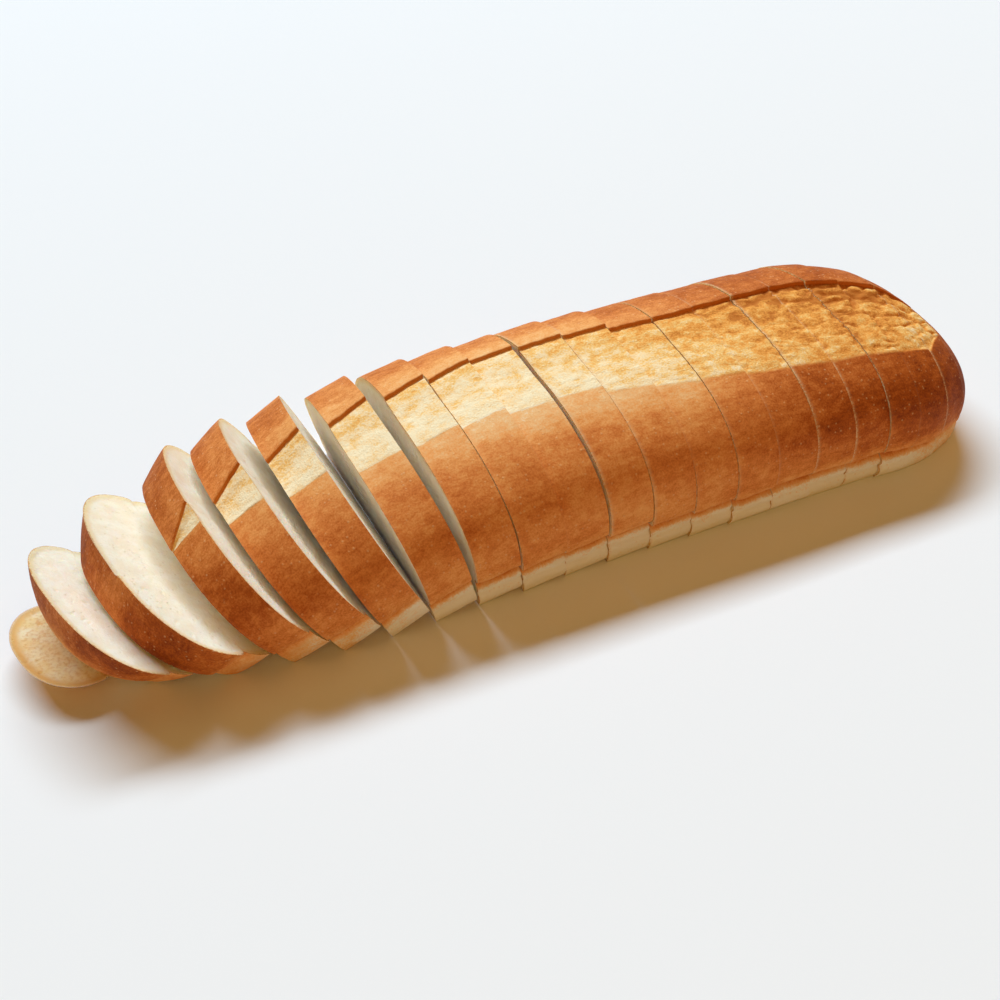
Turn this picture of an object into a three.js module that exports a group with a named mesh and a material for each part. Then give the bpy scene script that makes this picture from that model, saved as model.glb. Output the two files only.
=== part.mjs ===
// A long loaf of white bread, cut into 21 slices that still lie in a row.
// The first seven slices have fallen over sideways like a fan. The others are packed together,
// the first eight of them leaning slightly and the last six upright.
// Millimetres, +X along the loaf, +Y to its back, +Z up. The loaf rests on z = 0.

import * as THREE from 'three';

// Driving dimensions
const SLICE_COUNT = 21;
const SLICE_THICKNESS = 17.5;
const CUT_GAP = 0.5;
const LOAF_WIDTH = 112;
const LOAF_HEIGHT = 52;
const BASE_HALF_WIDTH = 53;
const CREASE_HALF_WIDTH = 53.6;
const CREASE_HEIGHT = 13;
const WAIST_HEIGHT = 19.5;
const CROWN_POWER = 2.3;
const STRIP_BULGE = 0.8;
const FLAP_LIFT = 3;
const FLAP_STEP = 0.5;
const FLAP_FADE = 1.2;
const CRAG_DEPTH = 0.7;

// The two ends, each as the length over which the loaf narrows
const LEFT_TAPER = 78.5;
const LEFT_START = 0.5;
const LEFT_WIDTH_POWER = 2.1;
const LEFT_HEIGHT_POWER = 3.3;
const RIGHT_TAPER = 64;
const RIGHT_START = 0.3;
const RIGHT_POWER = 2.5;
const RIGHT_TIP_HEIGHT = 12;
const RIGHT_UNDERCUT = 20;
const UNDERCUT_POWER = 3;
const HEEL_DOME = 6;
const HEEL_DOME_NARROWING = 0.35;

// How far the loaf bends to the front near its right end, by the distance from that end
const DRIFT = [[60, 0], [20, -5], [0, -12]];

// Slices that aren't of the usual thickness
const THICKNESS = {
  1: 5.5, 2: 13, 3: 15.5, 4: 14.8, 5: 15.6, 6: 16.3, 7: 17.2,
  17: 16, 18: 13.2, 19: 15.5, 20: 13.2, 21: 14.5,
};

// How far each slice leans to the left and turns about the upright, in degrees,
// and how far it has slid to the front, in millimetres
const LEAN = {
  1: 78, 2: 49, 3: 51.5, 4: 35.5, 5: 31, 6: 24.5, 7: 13.5,
  8: 6.8, 9: 6.1, 10: 5.4, 11: 3.4, 12: 2.4, 13: 1.7, 14: 1.1, 15: 0.6,
};
const TURN = {
  1: 15, 2: 14.5, 3: 10.7, 4: 6, 5: 5, 6: 3.5, 7: 2.8,
  8: 2.3, 9: 2, 10: 1.7, 11: 1.4, 12: 1.1, 13: 0.8, 14: 0.5, 15: 0.3,
};
const SLIDE = { 1: -15.5, 2: -18.4, 3: -13.2, 4: -7.1, 5: -4.5, 6: -2.5, 7: -1.5, 8: -1, 9: -0.5 };
const FIRST_UPRIGHT = 16;

// Edges of the torn band along the top, by slice number
const NEAR_LIP = [[0, -5], [2, -8], [3, -11], [4, -11.3], [7, -14.5], [9, -12.5], [11, -17], [13, -25],
  [16, -33], [19, -36], [20.5, -20], [21, -14]];
const FAR_LIP = [[0, 5], [2, 2], [3, -6], [4, 1.7], [5, 8.5], [7, 15.5], [9, 21], [11, 18.5], [13, 15],
  [16, 14.5], [19, 8], [20.5, -4], [21, -6]];
const BAND_OPEN = [[0, 0], [2.2, 0], [4, 0.8], [6, 1], [19, 1], [20.3, 0], [21, 0]];
const HEIGHT_TREND = [[0, 0.88], [70, 0.9], [130, 1], [200, 1.03], [360, 1]];

// How many points go round each stretch of the outline, and along a slice
const STRIP_POINTS = 3;
const LEDGE_POINTS = 3;
const NEAR_CRUST_POINTS = 9;
const BAND_POINTS = 6;
const FAR_CRUST_POINTS = 8;
const BASE_POINTS = 3;
const STATIONS = 4;
const HEEL_STATIONS = 7;
const HEEL_SPACING_POWER = 1.8;
const FLAP_PLACE = STRIP_POINTS + LEDGE_POINTS + NEAR_CRUST_POINTS + BAND_POINTS;
const HUB_SHARE = 0.38;

// Slice to slice unevenness
const WIDTH_UNEVEN = 0.006;
const HEIGHT_UNEVEN = 0.012;
const SIDE_UNEVEN = 0.5;

const CRUST_COLOUR = 0xc98448;
const CRUST_ROUGHNESS = 0.8;

function degrees(value) {
  return value * Math.PI / 180;
}

function clamp(value, low, high) {
  return Math.min(Math.max(value, low), high);
}

// A repeatable number from -1 to 1 for a pair of whole numbers
function uneven(a, b) {
  const mixed = Math.sin(a * 12.9898 + b * 78.233) * 43758.5453;
  return 2 * (mixed - Math.floor(mixed)) - 1;
}

// Straight-line reading between stations
function between(stations, at) {
  if (at <= stations[0][0]) {
    return stations[0][1];
  }
  for (let i = 1; i < stations.length; i += 1) {
    const [x0, y0] = stations[i - 1];
    const [x1, y1] = stations[i];
    if (at <= x1) {
      return y0 + (y1 - y0) * (at - x0) / (x1 - x0);
    }
  }
  return stations[stations.length - 1][1];
}

function thickness(slice) {
  return THICKNESS[slice] ?? SLICE_THICKNESS;
}

// Where a slice starts in the whole, uncut loaf
function sliceStart(slice) {
  let start = 0;
  for (let i = 1; i < slice; i += 1) {
    start += thickness(i) + CUT_GAP;
  }
  return start;
}

const LOAF_LENGTH = sliceStart(SLICE_COUNT + 1) - CUT_GAP;

function rounding(far, power) {
  return (1 - far ** power) ** (1 / power);
}

// Widths and heights of the whole loaf at a distance from its left tip
function profile(along, slicePlace) {
  const left = clamp(1 - (along + LEFT_START) / LEFT_TAPER, 0, 1);
  const right = clamp(1 - (LOAF_LENGTH - along + RIGHT_START) / RIGHT_TAPER, 0, 1);
  const dome = 1 - HEEL_DOME_NARROWING * clamp(1 - along / HEEL_DOME, 0, 1) ** 2;
  const rightEnd = rounding(right, RIGHT_POWER);
  const wide = rounding(left, LEFT_WIDTH_POWER) * rightEnd * dome;
  const tip = RIGHT_TIP_HEIGHT / LOAF_HEIGHT;
  const high = rounding(left, LEFT_HEIGHT_POWER) * (tip + (1 - tip) * rightEnd) * dome;
  const under = clamp(1 - (LOAF_LENGTH - along) / RIGHT_UNDERCUT, 0, 1);
  return {
    wide,
    high: high * between(HEIGHT_TREND, along),
    lift: RIGHT_TIP_HEIGHT * (1 - rounding(under, UNDERCUT_POWER)),
    drift: between(DRIFT.map(([end, shift]) => [LOAF_LENGTH - end, shift]), along),
    nearLip: between(NEAR_LIP, slicePlace) * wide,
    farLip: between(FAR_LIP, slicePlace) * wide,
    open: between(BAND_OPEN, slicePlace),
  };
}

// Angle at which the crown of the loaf passes a given distance from the middle
function crownAngle(offset, half) {
  return Math.acos(clamp(Math.abs(offset) / half, 0, 1) ** (CROWN_POWER / 2));
}

// The outline of the loaf at one place, anticlockwise seen from the right end,
// from the near lower corner up over the crown to the far lower corner and back along the base
function outline(along, slice, share) {
  const shape = profile(along, slice - 1 + share);
  const half = LOAF_WIDTH / 2 * shape.wide * (1 + WIDTH_UNEVEN * uneven(slice, 1));
  const top = LOAF_HEIGHT * shape.high * (1 + HEIGHT_UNEVEN * uneven(slice, 2));
  const base = BASE_HALF_WIDTH / (LOAF_WIDTH / 2) * half;
  const crease = CREASE_HALF_WIDTH / (LOAF_WIDTH / 2) * half;
  const creaseHeight = CREASE_HEIGHT * shape.high;
  const waist = WAIST_HEIGHT * shape.high;
  const points = [];

  function crown(angle, side) {
    const c = Math.max(Math.cos(angle), 0) ** (2 / CROWN_POWER);
    const s = Math.max(Math.sin(angle), 0) ** (2 / CROWN_POWER);
    return [side * half * c, waist + (top - waist) * s];
  }

  function ledge(q) {
    const angle = q * Math.PI / 2;
    const up = creaseHeight + (waist - creaseHeight) * (1 - Math.cos(angle));
    return [crease + (half - crease) * Math.sin(angle), up];
  }

  function strip(q) {
    return [base + (crease - base) * q + STRIP_BULGE * Math.sin(Math.PI * q), creaseHeight * q];
  }

  for (let i = 0; i < STRIP_POINTS; i += 1) {
    const [y, z] = strip(i / STRIP_POINTS);
    points.push([-y, z]);
  }
  for (let i = 0; i < LEDGE_POINTS; i += 1) {
    const [y, z] = ledge(i / LEDGE_POINTS);
    points.push([-y, z]);
  }
  const nearAngle = crownAngle(shape.nearLip, half);
  for (let i = 0; i < NEAR_CRUST_POINTS; i += 1) {
    points.push(crown(nearAngle * i / NEAR_CRUST_POINTS, -1));
  }
  const bandEnd = shape.farLip - FLAP_STEP;
  for (let i = 0; i < BAND_POINTS; i += 1) {
    const y = shape.nearLip + (bandEnd - shape.nearLip) * i / (BAND_POINTS - 1);
    const z = crown(crownAngle(y, half), 1)[1];
    const inside = i > 0 && i < BAND_POINTS - 1;
    points.push([y, z + (inside ? CRAG_DEPTH * shape.open * uneven(Math.round(along), i + 10) : 0)]);
  }
  const farSide = Math.sign(shape.farLip) || 1;
  const farAngle = farSide > 0 ? crownAngle(shape.farLip, half) : Math.PI - crownAngle(shape.farLip, half);
  for (let i = 0; i < FAR_CRUST_POINTS; i += 1) {
    const q = i / FAR_CRUST_POINTS;
    const angle = farAngle * (1 - q);
    const [y, z] = angle > Math.PI / 2 ? crown(Math.PI - angle, -1) : crown(angle, 1);
    points.push([y, z + FLAP_LIFT * shape.open * shape.high * (1 - q) ** FLAP_FADE]);
  }
  for (let i = 0; i < LEDGE_POINTS; i += 1) {
    points.push(ledge(1 - i / LEDGE_POINTS));
  }
  for (let i = 0; i < STRIP_POINTS; i += 1) {
    points.push(strip(1 - i / STRIP_POINTS));
  }
  for (let i = 0; i < BASE_POINTS; i += 1) {
    points.push([base * (1 - 2 * i / BASE_POINTS), 0]);
  }
  const middle = shape.drift + SIDE_UNEVEN * uneven(slice, 3) * shape.wide;
  const squeeze = (top - shape.lift) / top;
  return points.map(([y, z]) => [y + middle, shape.lift + z * squeeze]);
}

// Shares of the slice's thickness at which an outline is taken, closer together towards a heel's tip
function stationShares(slice) {
  const heel = slice === 1 || slice === SLICE_COUNT;
  const count = heel ? HEEL_STATIONS : STATIONS;
  const shares = [];
  for (let i = 0; i < count; i += 1) {
    const even = i / (count - 1);
    if (slice === 1) {
      shares.push(even ** HEEL_SPACING_POWER);
    } else if (slice === SLICE_COUNT) {
      shares.push(1 - (1 - even) ** HEEL_SPACING_POWER);
    } else {
      shares.push(even);
    }
  }
  return shares;
}

// The slice in its own frame: left face at x = 0, underside on z = 0
function sliceRings(slice) {
  const thick = thickness(slice);
  const start = sliceStart(slice);
  return stationShares(slice).map((share) => {
    const ring = outline(start + thick * share, slice, share);
    return ring.map(([y, z]) => new THREE.Vector3(thick * share, y, z));
  });
}

// Lean the slice to the left on its lower left edge, turn it, slide it and set it down on z = 0
function layDown(slice, rings) {
  const lean = new THREE.Matrix4().makeRotationY(-degrees(LEAN[slice] ?? 0));
  const turn = new THREE.Matrix4().makeRotationZ(degrees(TURN[slice] ?? 0));
  const move = turn.multiply(lean);
  const laid = rings.map((ring) => ring.map((point) => point.clone().applyMatrix4(move)));
  const lowest = Math.min(...laid.flat().map((point) => point.z));
  const slide = new THREE.Vector3(0, SLIDE[slice] ?? 0, -lowest);
  return laid.map((ring) => ring.map((point) => point.add(slide)));
}

function shiftAlong(rings, distance) {
  return rings.map((ring) => ring.map((point) => point.clone().setX(point.x + distance)));
}

// Push a leaning slice to the right until it all but meets the left face of the next one
function pushAgainst(rings, slice, nextRings) {
  const lean = degrees(LEAN[slice + 1] ?? 0);
  const turn = degrees(TURN[slice + 1] ?? 0);
  const faceOut = new THREE.Vector3(-Math.cos(lean) * Math.cos(turn), -Math.cos(lean) * Math.sin(turn),
    -Math.sin(lean));
  const onFace = nextRings[0][0];
  const distances = rings.flat().map((point) => point.clone().sub(onFace).dot(faceOut));
  return shiftAlong(rings, (CUT_GAP - Math.min(...distances)) / faceOut.x);
}

// All slices where they lie, as rings of points
function layLoaf() {
  const laid = {};
  for (let slice = FIRST_UPRIGHT; slice <= SLICE_COUNT; slice += 1) {
    laid[slice] = shiftAlong(layDown(slice, sliceRings(slice)), sliceStart(slice));
  }
  for (let slice = FIRST_UPRIGHT - 1; slice >= 1; slice -= 1) {
    laid[slice] = pushAgainst(layDown(slice, sliceRings(slice)), slice, laid[slice + 1]);
  }
  return laid;
}

// Bring the middle of the loaf's box to x = y = 0
function centreLoaf(laid) {
  const box = new THREE.Box3().setFromPoints(Object.values(laid).flat(2));
  const middle = box.getCenter(new THREE.Vector3()).setZ(0);
  for (const point of Object.values(laid).flat(2)) {
    point.sub(middle);
  }
}

// A point well inside a cut face, straight below the flap's edge, from which every corner of the face is seen
function faceHub(ring) {
  const near = ring[0];
  const across = ring[ring.length - BASE_POINTS].clone().sub(near);
  const flap = ring[FLAP_PLACE];
  const share = flap.clone().sub(near).dot(across) / across.lengthSq();
  return near.clone().addScaledVector(across, share).lerp(flap, HUB_SHARE);
}

// A closed body through the rings, with a flat cut face at each end
function sliceGeometry(rings) {
  const around = rings[0].length;
  const leftHub = rings.length * around;
  const rightHub = leftHub + 1;
  const last = (rings.length - 1) * around;
  const corners = [...rings.flat(), faceHub(rings[0]), faceHub(rings.at(-1))];
  const faces = [];
  for (let j = 0; j < around; j += 1) {
    const next = (j + 1) % around;
    for (let i = 0; i + 1 < rings.length; i += 1) {
      const low = i * around;
      const high = low + around;
      faces.push(low + j, low + next, high + next);
      faces.push(low + j, high + next, high + j);
    }
    faces.push(leftHub, next, j);
    faces.push(rightHub, last + j, last + next);
  }
  const geometry = new THREE.BufferGeometry();
  const positions = corners.flatMap((point) => point.toArray());
  geometry.setAttribute('position', new THREE.Float32BufferAttribute(positions, 3));
  geometry.setIndex(faces);
  return geometry;
}

function signedVolume(geometry) {
  const place = geometry.getAttribute('position');
  const index = geometry.getIndex();
  const corner = [new THREE.Vector3(), new THREE.Vector3(), new THREE.Vector3()];
  let total = 0;
  for (let i = 0; i < index.count; i += 3) {
    corner.forEach((point, n) => point.fromBufferAttribute(place, index.getX(i + n)));
    total += corner[0].dot(corner[1].clone().cross(corner[2])) / 6;
  }
  return total;
}

// Turn every face round if the body came out inside out
function faceOutward(geometry) {
  if (signedVolume(geometry) < 0) {
    const index = geometry.getIndex();
    for (let i = 0; i < index.count; i += 3) {
      const second = index.getX(i + 1);
      index.setX(i + 1, index.getX(i + 2));
      index.setX(i + 2, second);
    }
  }
  geometry.computeVertexNormals();
  return geometry;
}

function sliceMesh(slice, rings) {
  const material = new THREE.MeshStandardMaterial({ color: CRUST_COLOUR, roughness: CRUST_ROUGHNESS });
  material.flatShading = true;
  const mesh = new THREE.Mesh(faceOutward(sliceGeometry(rings)), material);
  mesh.name = `slice_${String(slice).padStart(2, '0')}`;
  return mesh;
}

function buildLoaf() {
  const laid = layLoaf();
  centreLoaf(laid);
  const loaf = new THREE.Group();
  loaf.name = 'sliced_loaf';
  for (let slice = 1; slice <= SLICE_COUNT; slice += 1) {
    loaf.add(sliceMesh(slice, laid[slice]));
  }
  return loaf;
}

export default buildLoaf();
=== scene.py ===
import itertools
import math

import bpy
import numpy as np
from mathutils import Matrix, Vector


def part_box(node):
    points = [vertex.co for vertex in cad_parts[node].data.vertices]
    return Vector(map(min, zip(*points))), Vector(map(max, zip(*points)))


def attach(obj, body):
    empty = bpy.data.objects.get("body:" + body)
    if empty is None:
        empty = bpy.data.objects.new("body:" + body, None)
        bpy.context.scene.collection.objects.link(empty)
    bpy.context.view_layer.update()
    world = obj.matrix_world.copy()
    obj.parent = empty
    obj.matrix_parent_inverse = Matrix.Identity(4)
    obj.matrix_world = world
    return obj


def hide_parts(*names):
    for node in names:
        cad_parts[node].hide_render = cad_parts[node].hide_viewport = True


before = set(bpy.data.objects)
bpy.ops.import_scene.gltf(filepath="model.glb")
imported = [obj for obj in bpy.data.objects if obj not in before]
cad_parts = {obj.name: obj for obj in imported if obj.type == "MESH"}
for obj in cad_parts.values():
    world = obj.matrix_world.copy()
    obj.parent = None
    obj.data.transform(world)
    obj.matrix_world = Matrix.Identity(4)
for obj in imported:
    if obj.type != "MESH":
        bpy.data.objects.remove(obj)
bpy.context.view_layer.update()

# A long loaf of white bread, cut into 21 slices that still lie in a row. The first seven have fallen
# over sideways like a fan. Shapes are worked out in millimetres and written to Blender in metres.
# +X along the loaf, +Y to its back, +Z up. The last argument of each noise is its seed, and a pitch is
# the size of its features. A list of pairs holds places and the values there, with straight lines
# between them. Its places are millimetres from the left tip of the uncut loaf, or places round the
# outline, in the numbers that the class Ring gives. DRIFT counts millimetres from the right tip, and
# the lips and BAND_OPEN count slices.

# Driving dimensions, the same as the solids' but for details of the torn band
SLICE_COUNT = 21
SLICE_THICKNESS = 17.5
CUT_GAP = 0.5
LOAF_WIDTH = 112
LOAF_HEIGHT = 52
BASE_HALF_WIDTH = 53
CREASE_HALF_WIDTH = 53.6
CREASE_HEIGHT = 13
WAIST_HEIGHT = 19.5
CROWN_POWER = 2.3
STRIP_BULGE = 0.8
FLAP_LIFT = 3
FLAP_STEP = 0.5
FLAP_FADE = 1.2
BAND_RISE = 0.5
LEFT_TAPER = 78.5
LEFT_START = 0.5
LEFT_WIDTH_POWER = 2.1
LEFT_HEIGHT_POWER = 3.3
RIGHT_TAPER = 64
RIGHT_START = 0.3
RIGHT_POWER = 2.5
RIGHT_TIP_HEIGHT = 12
RIGHT_UNDERCUT = 20
UNDERCUT_POWER = 3
HEEL_DOME = 6
HEEL_DOME_NARROWING = 0.35
DRIFT = [(60, 0), (20, -5), (0, -12)]
THICKNESS = {
    1: 5.5, 2: 13, 3: 15.5, 4: 14.8, 5: 15.6, 6: 16.3, 7: 17.2,
    17: 16, 18: 13.2, 19: 15.5, 20: 13.2, 21: 14.5,
}
LEAN = {
    1: 78, 2: 49, 3: 51.5, 4: 35.5, 5: 31, 6: 24.5, 7: 13.5,
    8: 6.8, 9: 6.1, 10: 5.4, 11: 3.4, 12: 2.4, 13: 1.7, 14: 1.1, 15: 0.6,
}
TURN = {
    1: 15, 2: 14.5, 3: 10.7, 4: 6, 5: 5, 6: 3.5, 7: 2.8,
    8: 2.3, 9: 2, 10: 1.7, 11: 1.4, 12: 1.1, 13: 0.8, 14: 0.5, 15: 0.3,
}
NEAR_LIP = [(0, -5), (2, -8), (3, -11), (4, -11.3), (7, -14.5), (9, -12.5), (11, -17), (13, -25),
            (16, -33), (19, -36), (20.5, -20), (21, -14)]
FAR_LIP = [(0, 5), (2, 2), (2.99, -6), (3, -9.4), (4, 1.7), (5, 8.5), (7, 15.5), (9, 21), (11, 18.5),
           (13, 15), (16, 14.5), (19, 8), (20.5, -4), (21, -6)]
BAND_OPEN = [(0, 0), (2.99, 0), (3, 0.35), (4, 0.8), (6, 1), (19, 1), (20.3, 0), (21, 0)]
HEIGHT_TREND = [(0, 0.88), (70, 0.9), (130, 1), (200, 1.03), (360, 1)]
WIDTH_UNEVEN = 0.006
HEIGHT_UNEVEN = 0.012
SIDE_UNEVEN = 0.5

# Points round each stretch of the outline, and the spacing of outlines along a slice
STRIP_POINTS = 16
LEDGE_POINTS = 14
NEAR_CRUST_POINTS = 96
BAND_POINTS = 80
FLAP_POINTS = 5
FAR_CRUST_POINTS = 76
FAR_SIDE_POINTS = 10
BASE_POINTS = 40
STATION_PITCH = 0.75
FEWEST_STATIONS = 12
HEEL_SPACING_POWER = 1.6
END_CROWDING = 0.45

# The cut faces: rings of points between the crust and a hub, more where a face can be seen
OPEN_RINGS = 42
HIDDEN_RINGS = 9
RING_POWER = 1.15
LAST_OPEN_SLICE = 8
HUB_SHARE = 0.38
FAR_FROM_CUT = 9.0
HEEL_END_SWELL = 0.9
HEEL_END_TONE = 0.8
HIDDEN_SWELL = 0.17
# The left heel's cut face is tinted gold and brown: its own crusty crumb, and partly painted shade from the
# slice beside it
HEEL_GOLD_AND_SHADE = 0.9

# Uneven lips of the torn band, and low waves in the crust, in millimetres
LIP_WOBBLE = 0.5
LIP_STEP = 1.1
FLAP_WOBBLE = 0.8
CRUST_SWELL = 0.3
CRUST_SWELL_PITCH = (17.0, 17.0, 17.0)
CRUST_RIPPLE = 0.07
CRUST_RIPPLE_PITCH = (5.0, 2.2, 2.2)

# Folds and crevices of the torn band, in millimetres, but crevices as wide as a share of a cell
CRAG_CELL = 4.6
CRAG_STRETCH = (0.72, 1.1, 0.3)
CRAG_BEND = 2.6
CRAG_BEND_PITCH = 4.5
CRAG_SOFT = 0.55
CRAG_FOLD_PITCH = 2.4
CRAG_CRUMBLE_PITCH = 1.1
CRAG_PATCH_PITCH = 8.0
CRAG_CREVICE = 0.6
CREVICE_WIDTH = 0.16
WIDE_CRAG_CELL = 9.5
WIDE_CRAG_CREVICE = 0.9
WIDE_CREVICE_WIDTH = 0.13
ROUGH_ALONG = [(120, 0.12), (190, 0.3), (235, 0.65), (300, 1.0), (345, 1.15)]
ROUGH_ACROSS = [(3, 0.75), (3.6, 0.9), (4, 1.2)]

# Creases in the sides, in millimetres, but their lines and reaches as places round the outline
CREASE_PINCH = 2.6
CREASE_REACH = 0.19
CREASE_STEP = 1.0
CREASE_WOBBLE = 1.2
CREASE_LINE = 1.04
FOLD_LINE = 0.62
FOLD_SHARE = 0.45
FOLD_REACH = 0.09
FAR_CREASE_LINE = 6.96
FAR_CREASE_REACH = 0.13
CREASE_FADE = [(20, 0), (75, 0.6), (110, 1), (285, 1), (335, 0.15)]

# How far the strips below the creases bulge, and by how much the slices differ in that
STRIP_SWELL = 0.9
STRIP_STEP = 0.7

# A dent across the crust of one slice, in millimetres from its left face
DENT_SLICE = 3
DENT_PLACE = 9
DENT_SLANT = 3
DENT_WIDTH = 0.7
DENT_DEPTH = 0.5

# Pores, waves and ragged edges of the cuts, in millimetres
PORE_CELL = 3.4
PORE_DEPTH = 0.5
CRUMB_WAVE = 0.35
CRUMB_WAVE_PITCH = (9.0, 6.0, 6.0)
CUT_RAGGEDNESS = 0.07
RAGGED_PITCH = (0.9, 0.9, 0.9)
RAGGED_WIDTH = 0.4
RAGGED_REACH = 1.2
CRUMBLY_WIDTH = 0.8

# How far packed slices swell to close their gaps, in millimetres, and the share of a wedge they close
GAP_CLOSING = 0.2
SWELL_REACH = 3
WEDGE_CLOSING = 0.85
OPEN_CUTS = {10: 0.0, 11: 0.5}

# How much pale crumb shows along the left edge of each slice's crust, by slice number. Less of it means
# more painted shade, dark brown, on a packed slice's hidden cut faces, which show only in thin gaps
CRUMBLY = {
    9: 0.1, 10: 0.1, 11: 0.8, 12: 0.6, 13: 0.2, 14: 0.3, 15: 0.35, 16: 0.9, 17: 1, 18: 0.1, 19: 0.1,
    20: 0.8, 21: 0.7,
}
PLAIN_CRUMBLY = 0.1

# The photograph's camera: place in metres, angles in degrees, lens in millimetres
CAMERA_PLACE = (-0.17381, -0.35159, 0.35225)
CAMERA_AZIMUTH = -25.5
CAMERA_ELEVATION = 42.3
CAMERA_ROLL = 1.1
CAMERA_LENS = 46.8
SENSOR_WIDTH = 36.0

# Light: a cool lamp high at the back, wide along the loaf, and two warm ones, above the front and overhead
KEY_DIRECTION = (0.0, 0.93, 1.0)
KEY_DISTANCE = 9
KEY_SIZE = (8.5, 1.9)
KEY_WATTS = 1265
KEY_COLOUR = (0.68, 0.835, 0.965)
FILL_DIRECTION = (-0.2, -1.0, 0.7)
FILL_DISTANCE = 2.5
FILL_SIZE = (2.6, 2.2)
FILL_WATTS = 15.5
FILL_COLOUR = (1.0, 0.59, 0.18)
TOP_DIRECTION = (0.45, 0.1, 1.0)
TOP_DISTANCE = 2.5
TOP_SIZE = (1.6, 1.6)
TOP_WATTS = 7
TOP_COLOUR = (1.0, 0.62, 0.24)
ROOM_COLOUR = (0.11, 0.06, 0.018, 1.0)
BACKDROP_COLOUR = (0.86, 0.88, 0.9, 1.0)
FLOOR_HALF_SIZE = 4.0


def degrees(value):
    return value * math.pi / 180


def uneven(a, b):
    """A repeatable number from -1 to 1 for a pair of whole numbers."""
    mixed = math.sin(a * 12.9898 + b * 78.233) * 43758.5453
    return 2 * (mixed - math.floor(mixed)) - 1


def between(stations, at):
    """Straight-line reading between stations."""
    return np.interp(at, [s[0] for s in stations], [s[1] for s in stations])


def ramp(value, low, high):
    """0 below low, 1 above high, and a smooth rise between."""
    part = np.clip((value - low) / (high - low), 0, 1)
    return part * part * (3 - 2 * part)


def hashed(cells, seed):
    """A repeatable number from 0 to 1 for each whole-numbered cell."""
    mixed = np.sin(cells @ np.array([12.9898, 78.233, 37.719]) + seed * 4.1371) * 43758.5453
    return mixed - np.floor(mixed)


def smooth_noise(points, seed):
    """Gradient noise, about -0.7 to 0.7, with a feature about every unit."""
    cell = np.floor(points)
    part = points - cell
    fade = part * part * part * (part * (part * 6 - 15) + 10)
    total = np.zeros(len(points))
    for corner in itertools.product((0, 1), repeat=3):
        step = np.array(corner)
        slope = np.stack([hashed(cell + step, seed + axis) for axis in range(3)], axis=-1) * 2 - 1
        weight = np.prod(np.where(step == 1, fade, 1 - fade), axis=-1)
        total += weight * np.sum(slope * (part - step), axis=-1)
    return total


def rough_noise(points, seed, octaves=3):
    """Gradient noise with finer noise added."""
    total = np.zeros(len(points))
    for octave in range(octaves):
        total += smooth_noise(points * 2 ** octave, seed + 11 * octave) / 2 ** octave
    return total


def cell_distances(points, seed):
    """Distances to the nearest and second nearest of the centres scattered one to a cell,
    and a number from 0 to 1 that belongs to the nearest one."""
    cell = np.floor(points)
    nearest = np.full(len(points), 9.0)
    second = np.full(len(points), 9.0)
    number = np.zeros(len(points))
    for corner in itertools.product((-1, 0, 1), repeat=3):
        home = cell + np.array(corner)
        centre = home + np.stack([hashed(home, seed + axis) for axis in range(3)], axis=-1)
        distance = np.linalg.norm(centre - points, axis=-1)
        closer = distance < nearest
        second = np.where(closer, nearest, np.minimum(second, distance))
        number = np.where(closer, hashed(home, seed + 7), number)
        nearest = np.where(closer, distance, nearest)
    return nearest, second, number


def thickness(slice_number):
    return THICKNESS.get(slice_number, SLICE_THICKNESS)


def slice_start(slice_number):
    """Where a slice starts in the whole, uncut loaf."""
    return sum(thickness(i) + CUT_GAP for i in range(1, slice_number))


LOAF_LENGTH = slice_start(SLICE_COUNT + 1) - CUT_GAP


def node_name(slice_number):
    return f"slice_{slice_number:02d}"


def rounding(far, power):
    return (1 - far ** power) ** (1 / power)


def profile(along, place):
    """Widths and heights of the whole loaf at distances from its left tip."""
    left = np.clip(1 - (along + LEFT_START) / LEFT_TAPER, 0, 1)
    right = np.clip(1 - (LOAF_LENGTH - along + RIGHT_START) / RIGHT_TAPER, 0, 1)
    dome = 1 - HEEL_DOME_NARROWING * np.clip(1 - along / HEEL_DOME, 0, 1) ** 2
    right_end = rounding(right, RIGHT_POWER)
    tip = RIGHT_TIP_HEIGHT / LOAF_HEIGHT
    under = np.clip(1 - (LOAF_LENGTH - along) / RIGHT_UNDERCUT, 0, 1)
    wide = rounding(left, LEFT_WIDTH_POWER) * right_end * dome
    high = rounding(left, LEFT_HEIGHT_POWER) * (tip + (1 - tip) * right_end) * dome
    return {
        "wide": wide,
        "high": high * between(HEIGHT_TREND, along),
        "lift": RIGHT_TIP_HEIGHT * (1 - rounding(under, UNDERCUT_POWER)),
        "drift": between([(LOAF_LENGTH - end, shift) for end, shift in DRIFT], along),
        "near_lip": between(NEAR_LIP, place) * wide,
        "far_lip": between(FAR_LIP, place) * wide,
        "open": between(BAND_OPEN, place),
    }


def crown_angle(offset, half):
    """Angle at which the crown of the loaf passes a given distance from the middle."""
    return np.arccos(np.clip(np.abs(offset) / half, 0, 1) ** (CROWN_POWER / 2))


def wobble(along, pitch, seed):
    """An uneven line along the loaf."""
    flat = along.ravel()
    points = np.stack([flat / pitch, flat * 0 + 0.5, flat * 0 + 0.5], axis=-1)
    return rough_noise(points, seed).reshape(along.shape)


def shares(count):
    """Even shares from 0 up to, but not reaching, 1, as a row."""
    return (np.arange(count) / count)[None, :]


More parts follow.
